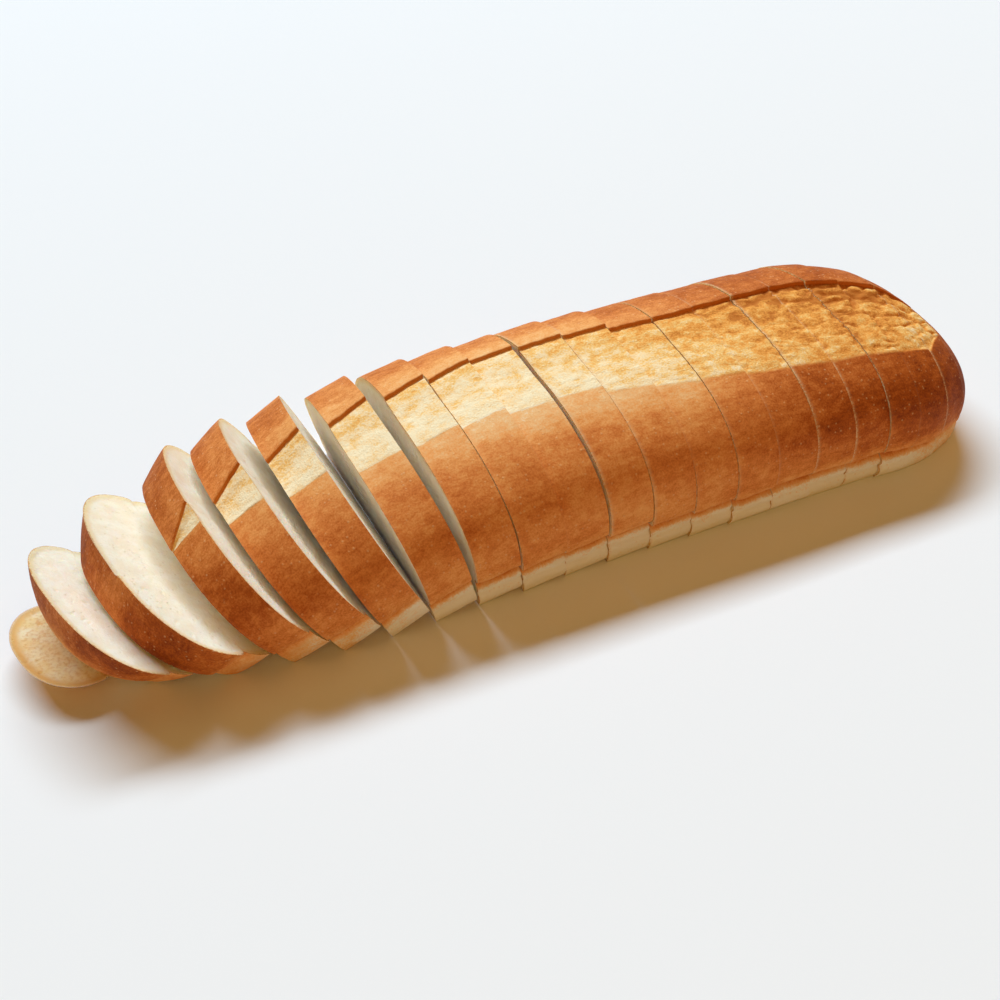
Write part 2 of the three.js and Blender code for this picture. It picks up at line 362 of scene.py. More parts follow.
class Ring:
    """The outlines of one slice at all its stations, one row a station, clockwise seen from the
    right end, from the near lower corner over the crown to the far one and back along the base.
    stretch runs 0 strip, 1 ledge, 2 near crust, 3 torn band, 4 flap edge, 5 far crust, 6 far ledge,
    7 far strip, 8 underside."""

    def __init__(self, along, slice_number, share):
        self.along = along[:, None]
        self.slice = slice_number
        shape = profile(along, slice_number - 1 + share)
        shape = {key: np.asarray(value)[:, None] for key, value in shape.items()}
        self.shape = shape
        self.half = LOAF_WIDTH / 2 * shape["wide"] * (1 + WIDTH_UNEVEN * uneven(slice_number, 1))
        self.top = LOAF_HEIGHT * shape["high"] * (1 + HEIGHT_UNEVEN * uneven(slice_number, 2))
        self.base = BASE_HALF_WIDTH / (LOAF_WIDTH / 2) * self.half
        self.crease = CREASE_HALF_WIDTH / (LOAF_WIDTH / 2) * self.half
        step = CREASE_STEP * uneven(slice_number, 14) + CREASE_WOBBLE * wobble(self.along, 9, 63)
        self.crease_height = (CREASE_HEIGHT + step) * shape["high"]
        self.waist = WAIST_HEIGHT * shape["high"]
        self.kept_across = []
        self.kept_up = []
        self.kept_stretch = []
        self.walk()

    def add(self, across, up, stretch):
        size = (len(self.along), np.broadcast(across, up, stretch).shape[-1])
        self.kept_across.append(np.broadcast_to(across, size))
        self.kept_up.append(np.broadcast_to(up, size))
        self.kept_stretch.append(np.broadcast_to(stretch, size))

    def crown(self, angle, side):
        c = np.maximum(np.cos(angle), 0) ** (2 / CROWN_POWER)
        s = np.maximum(np.sin(angle), 0) ** (2 / CROWN_POWER)
        return side * self.half * c, self.waist + (self.top - self.waist) * s

    def crown_height(self, across):
        return self.crown(crown_angle(across, self.half), 1)[1]

    def strip(self, q):
        across = self.base + (self.crease - self.base) * q + STRIP_BULGE * np.sin(np.pi * q)
        return across, self.crease_height * q

    def ledge(self, q):
        angle = q * np.pi / 2
        across = self.crease + (self.half - self.crease) * np.sin(angle)
        return across, self.crease_height + (self.waist - self.crease_height) * (1 - np.cos(angle))

    def near_side(self, near_lip):
        q = shares(STRIP_POINTS)
        across, up = self.strip(q)
        self.add(-across, up, q)
        q = shares(LEDGE_POINTS)
        across, up = self.ledge(q)
        self.add(-across, up, 1 + q)
        q = shares(NEAR_CRUST_POINTS)
        across, up = self.crown(crown_angle(near_lip, self.half) * q, -1)
        self.add(across, up, 2 + q)

    def flap_height(self):
        return FLAP_LIFT * self.shape["open"] * self.shape["high"]

    def torn_band(self, near_lip, band_end):
        q = shares(BAND_POINTS)
        across = near_lip + (band_end - near_lip) * q
        rise = BAND_RISE * self.flap_height() * ramp(q, 0.5, 1)
        self.add(across, self.crown_height(across) + rise, 3 + q)

    def far_side(self, band_end, far_lip):
        lift = self.flap_height()
        foot = self.crown_height(band_end) + BAND_RISE * lift
        head = self.crown_height(far_lip) + lift
        q = shares(FLAP_POINTS)
        self.add(band_end + (far_lip - band_end) * q, foot + (head - foot) * q, 4 + q)
        lip_angle = crown_angle(far_lip, self.half)
        angle = np.where(far_lip >= 0, lip_angle, np.pi - lip_angle)
        q = shares(FAR_CRUST_POINTS)
        angle = angle * (1 - q)
        past_top = angle > np.pi / 2
        across, up = self.crown(np.where(past_top, np.pi - angle, angle), np.where(past_top, -1, 1))
        self.add(across, up + lift * (1 - q) ** FLAP_FADE, 5 + q)
        q = shares(FAR_SIDE_POINTS)
        across, up = self.ledge(1 - q)
        self.add(across, up, 6 + q)
        across, up = self.strip(1 - q)
        self.add(across, up, 7 + q)

    def underside(self):
        q = shares(BASE_POINTS)
        self.add(self.base * (1 - 2 * q), q * 0, 8 + q)

    def walk(self):
        """Lays all the stretches and keeps them as across, up and stretch."""
        opening = self.shape["open"]
        near_step = LIP_STEP * uneven(self.slice, 7) + LIP_WOBBLE * wobble(self.along, 2.6, 5)
        far_step = LIP_STEP * uneven(self.slice, 8) + FLAP_WOBBLE * wobble(self.along, 3.1, 9)
        near_lip = self.shape["near_lip"] + opening * near_step
        far_lip = self.shape["far_lip"] + opening * far_step
        band_end = far_lip - FLAP_STEP
        self.near_side(near_lip)
        self.torn_band(near_lip, band_end)
        self.far_side(band_end, far_lip)
        self.underside()
        middle = self.shape["drift"] + SIDE_UNEVEN * uneven(self.slice, 3) * self.shape["wide"]
        squeeze = (self.top - self.shape["lift"]) / self.top
        self.across = np.concatenate(self.kept_across, axis=1) + middle
        self.up = self.shape["lift"] + np.concatenate(self.kept_up, axis=1) * squeeze
        self.stretch = np.concatenate(self.kept_stretch, axis=1)
        self.along_all = np.broadcast_to(self.along, self.across.shape)

    def places(self):
        """Every point's place in the whole, uncut loaf."""
        return np.stack([self.along_all, self.across, self.up], axis=-1).reshape(-1, 3)

    def noise(self, pitch, seed):
        return rough_noise(self.places() / np.array(pitch), seed).reshape(self.across.shape)


def station_shares(slice_number):
    """Shares of the slice's thickness at which an outline is taken, closer together near the cuts."""
    count = max(FEWEST_STATIONS, round(thickness(slice_number) / STATION_PITCH))
    even = np.linspace(0, 1, count)
    if slice_number == 1:
        return even ** HEEL_SPACING_POWER
    if slice_number == SLICE_COUNT:
        return 1 - (1 - even) ** HEEL_SPACING_POWER
    return even - np.sin(2 * np.pi * even) / (2 * np.pi) * END_CROWDING


def outward(across, up):
    """Unit vectors that point out of each outline, in its own plane."""
    ahead_across = np.roll(across, -1, axis=1) - np.roll(across, 1, axis=1)
    ahead_up = np.roll(up, -1, axis=1) - np.roll(up, 1, axis=1)
    size = np.maximum(np.hypot(ahead_across, ahead_up), 1e-6)
    return -ahead_up / size, ahead_across / size


def crag_relief(place, rougher):
    """Soft folds and crevices of the torn band, from about -1 to 0.4. rougher, from 0 to 1,
    brings in the crevices."""
    bend = np.stack([smooth_noise(place / CRAG_BEND_PITCH, 31 + axis) for axis in range(3)], axis=-1)
    bent = (place + CRAG_BEND * bend) * np.array(CRAG_STRETCH)
    nearest, second, _ = cell_distances(bent / CRAG_CELL, 3)
    where = ramp(smooth_noise(place / CRAG_PATCH_PITCH, 17), -0.25, 0.3)
    crevice = np.exp(-((second - nearest) / CREVICE_WIDTH) ** 2) * where
    wide_nearest, wide_second, _ = cell_distances(bent / WIDE_CRAG_CELL, 13)
    wide_crevice = np.exp(-((wide_second - wide_nearest) / WIDE_CREVICE_WIDTH) ** 2)
    wide_crevice = wide_crevice * ramp(rougher, 0.55, 1)
    soft = 0.5 - 0.7 * nearest + 0.5 * (0.5 - wide_nearest) * rougher
    soft = soft + 0.8 * smooth_noise(place / CRAG_FOLD_PITCH, 23)
    soft = soft + 0.3 * smooth_noise(place / CRAG_CRUMBLE_PITCH, 29)
    deep = CRAG_CREVICE * crevice * rougher + WIDE_CRAG_CREVICE * wide_crevice
    return CRAG_SOFT * (0.4 + 0.6 * rougher) * soft - deep


def band_roughness(ring):
    """How craggy the torn band is: soft at the left, deeply folded at the right near the flap."""
    return between(ROUGH_ALONG, ring.along_all) * between(ROUGH_ACROSS, ring.stretch)


def torn_share(ring):
    """1 on the torn band, 0 on the crust, and between along the lips."""
    inside = ramp(ring.stretch, 2.995, 3.04) * (1 - ramp(ring.stretch, 3.96, 4.0))
    return inside * ramp(ring.shape["open"], 0.02, 0.3)


def dent(ring):
    """A pinched line across the third slice's crust."""
    if ring.slice != DENT_SLICE:
        return 0
    line = slice_start(DENT_SLICE) + DENT_PLACE - DENT_SLANT * (ring.stretch - 2.2)
    where = ramp(ring.stretch, 1.9, 2.1) * (1 - ramp(ring.stretch, 2.7, 2.95))
    return where * np.exp(-((ring.along_all - line) / DENT_WIDTH) ** 2)


def creases(ring):
    """How far in the creases under the crust lie, 0 to about 1: the main one on the near side with a
    fainter fold below it, and the one on the far side."""
    line = CREASE_LINE + 0.1 * wobble(ring.along, 7, 57) + 0.06 * uneven(ring.slice, 11)
    fold_line = FOLD_LINE + 0.16 * wobble(ring.along, 9, 59) + 0.08 * uneven(ring.slice, 12)
    near = np.exp(-((ring.stretch - line) / CREASE_REACH) ** 2)
    near = near + FOLD_SHARE * np.exp(-((ring.stretch - fold_line) / FOLD_REACH) ** 2)
    far = np.exp(-((ring.stretch - FAR_CREASE_LINE) / FAR_CREASE_REACH) ** 2)
    return near + far


def crust_relief(ring):
    """How far the surface stands out from the plain outline, in millimetres, the crag value, and
    where the torn band is."""
    torn = torn_share(ring)
    rougher = band_roughness(ring)
    crag = crag_relief(ring.places(), rougher.ravel()).reshape(torn.shape)
    relief = torn * crag * (0.7 + 0.5 * rougher)
    crusty = (1 - torn) * ramp(ring.stretch, 0, 0.4) * (1 - ramp(ring.stretch, 7.6, 8))
    relief = relief + crusty * CRUST_SWELL * ring.noise(CRUST_SWELL_PITCH, 41)
    relief = relief + crusty * CRUST_RIPPLE * ring.noise(CRUST_RIPPLE_PITCH, 47)
    fade = between(CREASE_FADE, ring.along_all)
    relief = relief - CREASE_PINCH * creases(ring) * fade
    strip = ramp(ring.stretch, 0, 0.3) * (1 - ramp(ring.stretch, 0.7, 1.1))
    relief = relief + (STRIP_SWELL + STRIP_STEP * uneven(ring.slice, 13)) * strip * fade
    return relief - DENT_DEPTH * dent(ring), crag, torn


# How brown the crust is at each stretch of the outline: along the middle, and at both ends. The
# middle's darker bump round stretch 1, in the crease under the crust, is painted shade
MIDDLE_TONE_AND_CREASE_SHADE = [(0, -0.12), (0.5, -0.1), (0.76, 0.0), (0.9, 0.46), (1.0, 0.62), (1.12, 0.5), (1.3, 0.44),
               (1.6, 0.49), (2, 0.55), (2.12, 0.52), (2.35, 0.6), (2.6, 0.56), (3, 0.52)]
END_TONE = [(0, 0.36), (1, 0.46), (1.5, 0.54), (2, 0.6), (2.35, 0.66), (2.62, 0.62), (3, 0.52)]
# Painted sheen: the crust just below the near lip is made paler where a broad highlight lies
LIP_PAINTED_SHEEN = [(60, 0.1), (130, 0.26), (170, 0.26), (210, 0.14), (245, 0)]
BAND_TONE = [(150, 0), (190, 0.32), (225, 0.6), (262, 0.9), (296, 0.84), (312, 0.52), (350, 0.44)]
BAND_SIDE_TONE = [(3, -0.3), (3.5, -0.02), (4, 0.3)]
MIDDLE_SHARE = [(24, 0), (80, 1), (290, 1), (335, 0)]
FAR_SHARE = 0.8
FAR_TONE = [(140, 0.16), (200, 0.24), (262, 0.22)]
RIGHT_TONE = [(195, 0), (250, 0.21), (300, 0.31), (360, 0.32)]
LEFT_TONE = [(6, 0.0), (10, 0.22), (22, 0.28), (36, 0.16), (50, 0.08), (90, 0.03), (150, 0)]
HEEL_TONE = [(0, -0.2), (6, -0.15), (14, 0)]
UNDERSIDE_TONE = 0.62
TIP_REACH = 5


def baked_tone_and_painted_light(ring, torn):
    """How brown the crust is, from 0, pale, to 1, deep brown, with painted crease shade and lip sheen."""
    along = ring.along_all
    middle = between(MIDDLE_SHARE, along)
    side = np.where(ring.stretch < 4.5, ring.stretch, 8 - ring.stretch)
    # The middle's tone carries painted shade in the near crease
    tone = between(MIDDLE_TONE_AND_CREASE_SHADE, side) * middle + between(END_TONE, side) * (1 - middle)
    # Painted sheen below the near lip
    tone = tone - between(LIP_PAINTED_SHEEN, along) * ramp(side, 2.72, 2.97)
    far = ramp(ring.stretch, 4.6, 5)
    tone = tone * (1 - far) + far * (tone * FAR_SHARE + between(FAR_TONE, along))
    to_right = between(RIGHT_TONE, along) * (1 - 0.5 * far)
    tone = tone + (to_right + between(LEFT_TONE, along)) * ramp(side, 1.5, 2.3)
    tone = tone + between(HEEL_TONE, along)
    band = between(BAND_TONE, along) + between(BAND_SIDE_TONE, ring.stretch)
    tone = tone * (1 - torn) + band * torn
    underside = ramp(ring.stretch, 7.98, 8.02)
    tone = tone * (1 - underside) + UNDERSIDE_TONE * underside
    tip = ramp(along, LOAF_LENGTH - TIP_REACH, LOAF_LENGTH)
    return tone * (1 - tip) + HEEL_END_TONE * tip


def cut_depth(place, inward):
    """How deep the crumb lies below a cut, in millimetres: low waves and open pores."""
    wave = CRUMB_WAVE * (0.5 + smooth_noise(place / np.array(CRUMB_WAVE_PITCH), 61))
    nearest, _, number = cell_distances(place / PORE_CELL, 67)
    reach = 0.2 + 0.16 * number
    pore = ramp(1 - nearest / reach, 0, 1) * ramp(number, 0.5, 0.8)
    return (np.maximum(wave, 0.02) + PORE_DEPTH * pore) * ramp(inward, 0.6, 3)


POINT_VALUES = ("place", "tone", "torn", "crag", "flap", "inward", "crumbs", "browned", "golden")


class SliceMesh:
    """Collects the points, faces and point values of one slice."""

    def __init__(self):
        self.points = []
        self.values = {name: [] for name in POINT_VALUES}
        self.faces = []
        self.crumb_face = []
        self.count = 0

    def add_points(self, points, **values):
        first = self.count
        self.points.append(points)
        for name, kept in self.values.items():
            fallback = np.zeros((len(points), 3)) if name == "place" else np.zeros(len(points))
            kept.append(values.get(name, fallback))
        self.count += len(points)
        return first

    def add_faces(self, faces, crumb):
        self.faces.append(faces)
        self.crumb_face.append(np.full(len(faces), crumb))


def grid_faces(rows, around, first):
    """Four-cornered faces between rows of points that each close on themselves."""
    i, j = np.meshgrid(np.arange(rows - 1), np.arange(around), indexing="ij")
    low = first + i * around
    right = (j + 1) % around
    return np.stack([low + j, low + right, low + around + right, low + around + j], axis=-1).reshape(-1, 4)


class Cut:
    """One flat face of a slice, filled with rings of points from the rim in to a hub.
    side is -1 for the left face and 1 for the right one."""

    def __init__(self, rim, rim_place, rim_tone, side, slice_number):
        self.rim = rim
        self.rim_place = rim_place
        self.rim_tone = rim_tone
        self.side = side
        self.heel_end = slice_number == (1 if side < 0 else SLICE_COUNT)
        self.open = slice_number <= LAST_OPEN_SLICE and not self.heel_end
        self.seed_shift = np.array([slice_number * 31.7 + side * 7.3, 0, 0])
        # Hidden cut faces of packed slices get painted shade for the gaps, less where pale crumb shows
        self.browned = 0 if self.open else 1 - CRUMBLY.get(slice_number, PLAIN_CRUMBLY)
        self.golden = HEEL_GOLD_AND_SHADE if slice_number == 1 else 0
        across, up = rim_place[:, 1], rim_place[:, 2]
        middle = (across[0] + across[-BASE_POINTS]) / 2
        self.hub = np.array([middle, up[0] + HUB_SHARE * (up.max() - up[0])])
        self.reach = np.stack([across, up], axis=-1) - self.hub
        away_across, away_up = outward(across[None, :], up[None, :])
        self.deep = np.abs(self.reach[:, 0] * away_across[0] + self.reach[:, 1] * away_up[0])

    def depth(self, place, inward, share):
        if self.heel_end:
            return -HEEL_END_SWELL * (1 - (1 - share) ** 2)
        if self.open:
            return cut_depth(place + self.seed_shift, inward)
        return -HIDDEN_SWELL * ramp(inward, 0.2, 1.4)

    def add_ring(self, mesh, share):
        flat = self.hub + self.reach * (1 - share)
        inward = share * self.deep
        place = np.stack([self.rim_place[:, 0], flat[:, 0], flat[:, 1]], axis=-1)
        middle_x = self.rim[:, 0].mean()
        x = middle_x + (self.rim[:, 0] - middle_x) * np.exp(-inward / RAGGED_REACH)
        points = np.stack([x - self.side * self.depth(place, inward, share), flat[:, 0], flat[:, 1]], axis=-1)
        tone = self.rim_tone * (1 - share) + HEEL_END_TONE * share
        browned = np.full(len(points), self.browned)
        golden = np.full(len(points), self.golden)
        mesh.add_points(points, place=place, inward=inward, tone=tone, browned=browned, golden=golden)

    def add_hub(self, mesh):
        place = np.array([[self.rim_place[0, 0], *self.hub]])
        inward = np.array([self.deep.min()])
        depth = float(np.ravel(self.depth(place, inward, 1.0))[0])
        point = np.array([[self.rim[:, 0].mean() - self.side * depth, *self.hub]])
        return mesh.add_points(point, place=place, inward=inward, tone=np.array([HEEL_END_TONE]))

    def fill(self, mesh, rim_first):
        around = len(self.rim)
        rings = OPEN_RINGS if self.open else HIDDEN_RINGS
        first = mesh.count
        for ring in range(1, rings):
            self.add_ring(mesh, (ring / rings) ** RING_POWER)
        hub = self.add_hub(mesh)
        here = np.arange(around)
        there = (here + 1) % around
        outer = np.stack([rim_first + here, rim_first + there, first + there, first + here], axis=-1)
        last = hub - around
        no_corner = np.full(around, -1)
        middle = np.stack([last + here, last + there, np.full(around, hub), no_corner], axis=-1)
        for faces in (outer, grid_faces(rings - 1, around, first), middle):
            if self.side > 0:
                faces = np.where(faces[:, 3:] < 0, faces[:, [1, 0, 2, 3]], faces[:, ::-1])
            mesh.add_faces(faces, not self.heel_end)


def distance_to_cuts(x, slice_number):
    """Distances to the slice's left and right cut faces. A heel's own end isn't a cut."""
    to_left = x + (FAR_FROM_CUT if slice_number == 1 else 0)
    to_right = thickness(slice_number) - x + (FAR_FROM_CUT if slice_number == SLICE_COUNT else 0)
    return to_left, to_right


def ragged_cut(ring, to_left, to_right):
    """Small shifts along the loaf that make the cut edges uneven."""
    nearby = np.exp(-np.minimum(to_left, to_right) / RAGGED_WIDTH)
    return CUT_RAGGEDNESS * ring.noise(RAGGED_PITCH, 71) * nearby


def wedge(slice_number, up):
    """Half of the swelling, in millimetres, that closes the wedge to the right of a leaning slice at
    a height. OPEN_CUTS holds the shares of the wedges that stay more open."""
    closing = OPEN_CUTS.get(slice_number, WEDGE_CLOSING)
    opened = LEAN.get(slice_number, 0) - LEAN.get(slice_number + 1, 0)
    return closing * degrees(opened) * up / 2


def packed_bulge(ring, to_left, to_right):
    """How far a packed slice swells towards its neighbours, in millimetres along the loaf."""
    if ring.slice <= LAST_OPEN_SLICE:
        return 0
    left = GAP_CLOSING + (wedge(ring.slice - 1, ring.up) if ring.slice > LAST_OPEN_SLICE + 1 else 0)
    right = GAP_CLOSING + wedge(ring.slice, ring.up)
    return right * np.exp(-to_right / SWELL_REACH) - left * np.exp(-to_left / SWELL_REACH)


def slice_shape(slice_number):
    """The slice in its own frame in millimetres: left face at x = 0, underside on z = 0."""
    thick = thickness(slice_number)
    share = station_shares(slice_number)
    ring = Ring(slice_start(slice_number) + thick * share, slice_number, share)
    rows, around = ring.across.shape
    x = np.broadcast_to(thick * share[:, None], ring.across.shape)
    plain = np.stack([x, ring.across, ring.up], axis=-1).reshape(-1, 3)
    relief, crag, torn = crust_relief(ring)
    away_across, away_up = outward(ring.across, ring.up)
    to_left, to_right = distance_to_cuts(x, slice_number)
    x = x + ragged_cut(ring, to_left, to_right)
    x = x + packed_bulge(ring, to_left, to_right)
    up = np.maximum(ring.up + away_up * relief, 0)
    points = np.stack([x, ring.across + away_across * relief, up], axis=-1).reshape(-1, 3)
    flap = ramp(ring.stretch, 3.985, 4.05) * (1 - ramp(ring.stretch, 4.9, 5.01))
    flap = flap * ramp(ring.shape["open"], 0.3, 1)
    crumbs = CRUMBLY.get(slice_number, PLAIN_CRUMBLY) * np.exp(-(to_left / CRUMBLY_WIDTH) ** 2)
    tone = baked_tone_and_painted_light(ring, torn).ravel()
    places = ring.places()
    mesh = SliceMesh()
    mesh.add_points(points, place=places, tone=tone, torn=torn.ravel(), crag=crag.ravel(),
                    flap=flap.ravel(), crumbs=crumbs.ravel())
    mesh.add_faces(grid_faces(rows, around, 0)[:, ::-1], False)
    last = (rows - 1) * around
    Cut(points[:around], places[:around], tone[:around], -1, slice_number).fill(mesh, 0)
    Cut(points[last:], places[last:], tone[last:], 1, slice_number).fill(mesh, last)
    return mesh, plain, around, rows


def lay_down(points, plain, slice_number):
    """Leans and turns the slice as it lies, and brings it to its solid's place in the frame."""
    lean = Matrix.Rotation(-degrees(LEAN.get(slice_number, 0)), 3, "Y")
    turn = Matrix.Rotation(degrees(TURN.get(slice_number, 0)), 3, "Z")
    move = np.array(turn @ lean)
    laid = points @ move.T
    plain_laid = plain @ move.T
    low, high = (np.array(corner) * 1000 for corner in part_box(node_name(slice_number)))
    middle = (plain_laid.min(axis=0) + plain_laid.max(axis=0)) / 2
    shift = (low + high) / 2 - middle
    shift[2] = low[2] - plain_laid[:, 2].min()
    laid = laid + shift
    laid[:, 2] = np.maximum(laid[:, 2], 0)
    return laid


def write_mesh(name, mesh, points):
    """A smooth Blender object of the collected mesh."""
    faces = np.concatenate(mesh.faces)
    corners = np.where(faces[:, 3] < 0, 3, 4)
    loops = faces.ravel()
    loops = loops[loops >= 0]
    data = bpy.data.meshes.new(name)
    data.vertices.add(len(points))
    data.vertices.foreach_set("co", (points / 1000).astype(np.float32).ravel())
    data.loops.add(len(loops))
    data.loops.foreach_set("vertex_index", loops.astype(np.int32))
    data.polygons.add(len(faces))
    starts = np.concatenate([[0], np.cumsum(corners)[:-1]])
    data.polygons.foreach_set("loop_start", starts.astype(np.int32))
    data.polygons.foreach_set("material_index", np.concatenate(mesh.crumb_face).astype(np.int32))
    data.polygons.foreach_set("use_smooth", np.ones(len(faces), bool))
    data.update(calc_edges=True)
    for key, kept in mesh.values.items():
        value = np.concatenate(kept).astype(np.float32)
        kind = "FLOAT_VECTOR" if key == "place" else "FLOAT"
        attribute = data.attributes.new(key, kind, "POINT")
        attribute.data.foreach_set("vector" if key == "place" else "value", value.ravel())
    data.validate()
    piece = bpy.data.objects.new(name, data)
    bpy.context.scene.collection.objects.link(piece)
    return piece


def mark_cut_edges(piece, around, rows, slice_number):
    """Makes the edges between crust and cut face sharp."""
    data = piece.data
    ends = np.zeros(len(data.edges) * 2, np.int32)
    data.edges.foreach_get("vertices", ends)
    ends = ends.reshape(-1, 2)
    sharp = np.zeros(len(ends), bool)
    if slice_number > 1:
        sharp |= (ends < around).all(axis=1)
    if slice_number < SLICE_COUNT:
        last = (rows - 1) * around
        sharp |= ((ends >= last) & (ends < last + around)).all(axis=1)
    attribute = data.attributes.new("sharp_edge", "BOOLEAN", "EDGE")
    attribute.data.foreach_set("value", sharp)


def srgb(red, green, blue):
    """A colour as read from a screen, 0 to 255, as Blender's linear values."""
    def linear(value):
        value = value / 255
        return value / 12.92 if value <= 0.04045 else ((value + 0.055) / 1.055) ** 2.4
    return (linear(red), linear(green), linear(blue), 1.0)


class Nodes:
    """Short names for the shader nodes that the materials are made of."""

    def __init__(self, name):
        self.material = bpy.data.materials.new(name)
        self.material.use_nodes = True
        self.tree = self.material.node_tree
        self.surface = self.tree.nodes["Principled BSDF"]

    def node(self, kind, **settings):
        made = self.tree.nodes.new(kind)
        for key, value in settings.items():
            setattr(made, key, value)
        return made

    def plug(self, value, socket):
        if isinstance(value, bpy.types.NodeSocket):
            self.tree.links.new(value, socket)
        else:
            socket.default_value = value

    def value(self, name):
        return self.node("ShaderNodeAttribute", attribute_name=name).outputs["Fac"]

    def place(self):
        return self.node("ShaderNodeAttribute", attribute_name="place").outputs["Vector"]

    def stretched(self, vector, scale):
        made = self.node("ShaderNodeVectorMath", operation="MULTIPLY")
        self.plug(vector, made.inputs[0])
        made.inputs[1].default_value = scale
        return made.outputs["Vector"]

    def noise(self, vector, pitch, detail=3.0, roughness=0.55):
        """Noise with a feature about every pitch millimetres, 0 to 1."""
        made = self.node("ShaderNodeTexNoise")
        self.plug(vector, made.inputs["Vector"])
        made.inputs["Scale"].default_value = 1 / pitch
        made.inputs["Detail"].default_value = detail
        made.inputs["Roughness"].default_value = roughness
        return made.outputs["Fac"]

    def cells(self, vector, pitch):
        """Scattered centres, one to about every pitch millimetres: distance and a colour for each."""
        made = self.node("ShaderNodeTexVoronoi", feature="F1")
        self.plug(vector, made.inputs["Vector"])
        made.inputs["Scale"].default_value = 1 / pitch
        return made.outputs["Distance"], made.outputs["Color"]

    def maths(self, operation, a, b=0.0, clamp=False):
        made = self.node("ShaderNodeMath", operation=operation, use_clamp=clamp)
        self.plug(a, made.inputs[0])
        self.plug(b, made.inputs[1])
        return made.outputs[0]

    def add(self, a, b, clamp=False):
        return self.maths("ADD", a, b, clamp)

    def times(self, a, b):
        return self.maths("MULTIPLY", a, b)

    def spread(self, value, low, high, start=0.0, end=1.0):
        """value from low..high turned into start..end, held at both ends."""
        made = self.node("ShaderNodeMapRange", interpolation_type="SMOOTHSTEP")
        self.plug(value, made.inputs["Value"])
        for socket, number in zip(("From Min", "From Max", "To Min", "To Max"), (low, high, start, end)):
            made.inputs[socket].default_value = number
        return made.outputs["Result"]

    def mix(self, share, a, b):
        made = self.node("ShaderNodeMix", data_type="RGBA")
        colours = [socket for socket in made.inputs if socket.type == "RGBA"]
        self.plug(share, made.inputs["Factor"])
        self.plug(a, colours[0])
        self.plug(b, colours[1])
        return next(socket for socket in made.outputs if socket.type == "RGBA")

    def colours(self, value, stops):
        made = self.node("ShaderNodeValToRGB")
        self.plug(value, made.inputs["Fac"])
        elements = made.color_ramp.elements
        while len(elements) < len(stops):
            elements.new(0.5)
        for element, (at, colour) in zip(elements, stops):
            element.position = at
            element.color = colour
        return made.outputs["Color"]

    def bump(self, height, distance):
        made = self.node("ShaderNodeBump")
        self.plug(height, made.inputs["Height"])
        made.inputs["Distance"].default_value = distance
        self.plug(made.outputs["Normal"], self.surface.inputs["Normal"])


# Colours of the crust from pale to deep brown, and of the torn band from its crevices to its ridges
CRUST_TONES = [
    (0.0, srgb(246, 236, 212)),
    (0.2, srgb(244, 196, 136)),
    (0.42, srgb(238, 164, 92)),
    (0.6, srgb(218, 130, 62)),
    (0.8, srgb(184, 93, 32)),
    (1.0, srgb(136, 58, 16)),
]
TORN_TONES = [
    (0.0, srgb(200, 120, 48)),
    (0.3, srgb(240, 164, 76)),
    (0.56, srgb(249, 200, 120)),
    (0.74, srgb(253, 220, 166)),
    (1.0, srgb(254, 236, 196)),
]
FLAP_EDGE = srgb(206, 114, 46)
BLISTER = srgb(240, 196, 140)
CRUMB = srgb(250, 239, 219)
CRUMB_SHADE = srgb(243, 226, 197)
# Painted shade in the crumb's pores
PAINTED_PORE_SHADE = srgb(222, 204, 170)
CRUMB_FLECK = srgb(228, 190, 144)
# Painted shade for the thin gaps between packed slices
PAINTED_GAP_SHADE_COLOUR = srgb(158, 88, 38)
RIM_BROWN = srgb(204, 136, 74)
RIM_GOLD = srgb(236, 196, 138)
FLOOR_COLOUR = srgb(240, 240, 240)

# Sizes of the markings in the crust and the crumb, in millimetres
BLOTCH_PITCH = 14
MOTTLE_PITCH = 3.4
STREAK_PITCH = 1.4
SPECKLE_PITCH = 0.7
GRAIN_PITCH = 0.8
BLISTER_PITCH = 1.9
UNEVEN_SHINE_PITCH = 2.6
TORN_MOTTLE_PITCH = 4.5
CRUMB_SHADE_PITCH = 7
CRUMB_GRAIN_PITCH = 1.3
CRUMB_PORE_PITCH = 1.7

# How shiny the surfaces are, and the depth of their finest relief in metres
CRUST_SHINE = 0.08
CRUMB_SHINE = 0.15
FLOOR_SHINE = 0.1
MATT = 0.9
CRUST_GRAIN_DEPTH = 0.0002
CRUMB_GRAIN_DEPTH = 0.0003

# How far light runs under the crumb's surface, in metres, and the shares of that for each colour
CRUMB_GLOW_DEPTH = 0.009
CRUMB_GLOW_COLOURS = (1.0, 0.7, 0.45)


def crust_tone(n, place):
    """The baked tone, with its painted sheen and crease shade, and its faint blotches, streaks and speckles.
    """
    broad = n.noise(place, BLOTCH_PITCH, detail=2)
    mottle = n.noise(n.stretched(place, (0.8, 1, 1)), MOTTLE_PITCH)
    streak = n.noise(n.stretched(place, (0.3, 1, 1)), STREAK_PITCH)
    fine = n.noise(place, SPECKLE_PITCH)
    tone = n.add(n.value("tone"), n.spread(broad, 0.3, 0.7, -0.055, 0.055))
    tone = n.add(tone, n.spread(mottle, 0.3, 0.7, -0.055, 0.055))
    tone = n.add(tone, n.spread(streak, 0.3, 0.7, -0.03, 0.04))
    return n.add(tone, n.spread(fine, 0.3, 0.7, -0.07, 0.07), clamp=True)


def blisters(n, place):
    """Small pale dots in the crust, 0 to 1."""
    distance, colour = n.cells(place, BLISTER_PITCH)
    return n.times(n.spread(distance, 0.12, 0.3, 1, 0), n.spread(colour, 0.5, 0.75))


